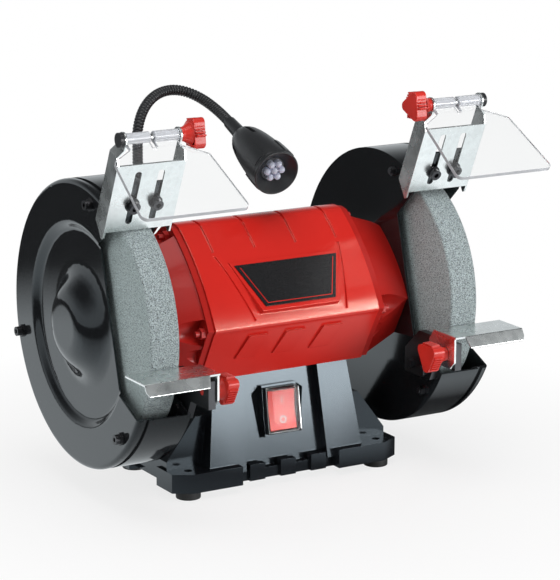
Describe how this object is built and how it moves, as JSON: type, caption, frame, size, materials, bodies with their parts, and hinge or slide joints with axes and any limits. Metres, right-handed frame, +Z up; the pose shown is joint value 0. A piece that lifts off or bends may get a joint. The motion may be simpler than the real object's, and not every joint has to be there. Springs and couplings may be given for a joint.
{
  "type": "bench grinder",
  "caption": "Double-ended bench grinder with guarded abrasive wheels, adjustable tool rests, clear eye shields and a gooseneck work lamp on a bolt-down pedestal.",
  "frame": {"origin": "on the bench, midway between the four bench bolts, under the middle of the shaft", "axes": "+X along the shaft to the right as seen from the front, +Y to the back, +Z up"},
  "size_m": [0.3618, 0.2676, 0.3153],
  "materials": {
    "red_paint": "gloss red paint over die cast aluminium",
    "black_gloss": "gloss black stove enamel on pressed steel",
    "black_steel": "black oxide steel",
    "black_plastic": "satin black moulding",
    "galvanised": "zinc plated sheet",
    "clear_plastic": "clear polycarbonate",
    "red_plastic": "red moulded plastic",
    "grey_stone": "vitrified aluminium oxide, grey with dark grains",
    "steel": "turned steel",
    "red_fasteners": "steel, painted over",
    "core_steel": "stacked laminations",
    "copper": "varnished copper wire",
    "rubber": "black rubber",
    "badge_black": "plain black plate",
    "capacitor_can": "grey can",
    "led_board": "black board",
    "led_lens": "clear lens"
  },
  "bodies": {
    "root": {"motor_housing": "red_paint", "left_end_bell": "red_paint", "right_end_bell": "red_paint", "left_inner_guard": "black_gloss", "right_inner_guard": "black_gloss", "left_outer_cover": "black_gloss", "right_outer_cover": "black_gloss", "left_rest_arm": "black_steel", "right_rest_arm": "black_steel", "left_cover_screws": "black_steel", "right_cover_screws": "black_steel", "left_spark_screws": "black_steel", "right_spark_screws": "black_steel", "arm_bolts": "black_steel", "base_pedestal": "black_plastic", "switch_bezel": "black_plastic", "cable_gland": "black_plastic", "lamp_socket": "black_plastic", "base_floor_plate": "galvanised", "splash_cover": "clear_plastic", "bearing_outer_races": "steel", "guard_screws": "steel", "floor_screws": "steel", "tie_bolts": "red_fasteners", "tie_nuts": "red_fasteners", "stator_core": "core_steel", "stator_windings": "copper", "rubber_feet": "rubber", "badge_plate": "badge_black", "start_capacitor": "capacitor_can"},
    "rotor": {"rotor_shaft": "steel", "rotor_core": "core_steel", "bearing_inner_races": "steel", "bearing_balls": "steel", "left_grinding_wheel": "grey_stone", "right_grinding_wheel": "grey_stone", "left_wheel_flanges": "steel", "right_wheel_flanges": "steel", "spindle_nuts": "steel"},
    "rocker": {"switch_rocker": "red_plastic"},
    "lamp_neck": {"gooseneck_lower": "black_plastic", "gooseneck_upper": "black_plastic"},
    "lamp": {"lamp_head": "black_plastic", "led_board": "led_board", "lamp_leds": "led_lens"},
    "left_spark": {"left_spark_guard": "galvanised", "left_hinge_cap": "black_plastic"},
    "left_shield": {"left_eye_shield": "clear_plastic"},
    "left_shield_clamp": {"left_shield_knob": "red_plastic"},
    "left_rest": {"left_tool_rest": "galvanised"},
    "left_rest_clamp": {"left_rest_knob": "red_plastic"},
    "right_spark": {"right_spark_guard": "galvanised", "right_hinge_cap": "black_plastic"},
    "right_shield": {"right_eye_shield": "clear_plastic"},
    "right_shield_clamp": {"right_shield_knob": "red_plastic"},
    "right_rest": {"right_tool_rest": "galvanised"},
    "right_rest_clamp": {"right_rest_knob": "red_plastic"}
  },
  "joints": [
    {"name": "rotor_spin", "type": "hinge", "parent": "root", "child": "rotor", "pos_m": [0, 0, 0.14], "axis": [1, 0, 0], "continuous": true},
    {"name": "left_spark_slide", "type": "slide", "parent": "root", "child": "left_spark", "axis": [0, -0.4067, 0.9135], "range_m": [0, 0.012]},
    {"name": "left_shield_tilt", "type": "hinge", "parent": "left_spark", "child": "left_shield", "pos_m": [-0.1363, -0.07878, 0.29851], "axis": [1, 0, 0], "range_deg": [-80, 20]},
    {"name": "left_shield_knob_turn", "type": "hinge", "parent": "left_spark", "child": "left_shield_clamp", "pos_m": [-0.1363, -0.07878, 0.29851], "axis": [1, 0, 0], "range_deg": [-90, 90]},
    {"name": "left_rest_slide", "type": "slide", "parent": "root", "child": "left_rest", "axis": [0, -1, 0], "range_m": [0, 0.014]},
    {"name": "left_rest_knob_turn", "type": "hinge", "parent": "root", "child": "left_rest_clamp", "pos_m": [-0.1063, -0.117, 0.108], "axis": [1, 0, 0], "range_deg": [-90, 90]},
    {"name": "right_spark_slide", "type": "slide", "parent": "root", "child": "right_spark", "axis": [0, -0.4067, 0.9135], "range_m": [-0.005, 0.007]},
    {"name": "right_shield_tilt", "type": "hinge", "parent": "right_spark", "child": "right_shield", "pos_m": [0.1363, -0.08082, 0.30308], "axis": [1, 0, 0], "range_deg": [-80, 20]},
    {"name": "right_shield_knob_turn", "type": "hinge", "parent": "right_spark", "child": "right_shield_clamp", "pos_m": [0.1363, -0.08082, 0.30308], "axis": [1, 0, 0], "range_deg": [-90, 90]},
    {"name": "right_rest_slide", "type": "slide", "parent": "root", "child": "right_rest", "axis": [0, -1, 0], "range_m": [0, 0.014]},
    {"name": "right_rest_knob_turn", "type": "hinge", "parent": "root", "child": "right_rest_clamp", "pos_m": [0.1063, -0.117, 0.108], "axis": [1, 0, 0], "range_deg": [-90, 90]},
    {"name": "switch_rock", "type": "hinge", "parent": "root", "child": "rocker", "pos_m": [0, -0.03923, 0.05835], "axis": [1, 0, 0], "range_deg": [-6, 6]},
    {"name": "lamp_swing", "type": "hinge", "parent": "root", "child": "lamp_neck", "pos_m": [-0.062, 0.086, 0.13], "axis": [0, 0, 1], "range_deg": [-30, 30]},
    {"name": "lamp_nod", "type": "hinge", "parent": "lamp_neck", "child": "lamp", "pos_m": [0.0033, 0.08662, 0.29006], "axis": [1, 0, 0], "range_deg": [-35, 8], "deforming": ["gooseneck_upper"]}
  ]
}
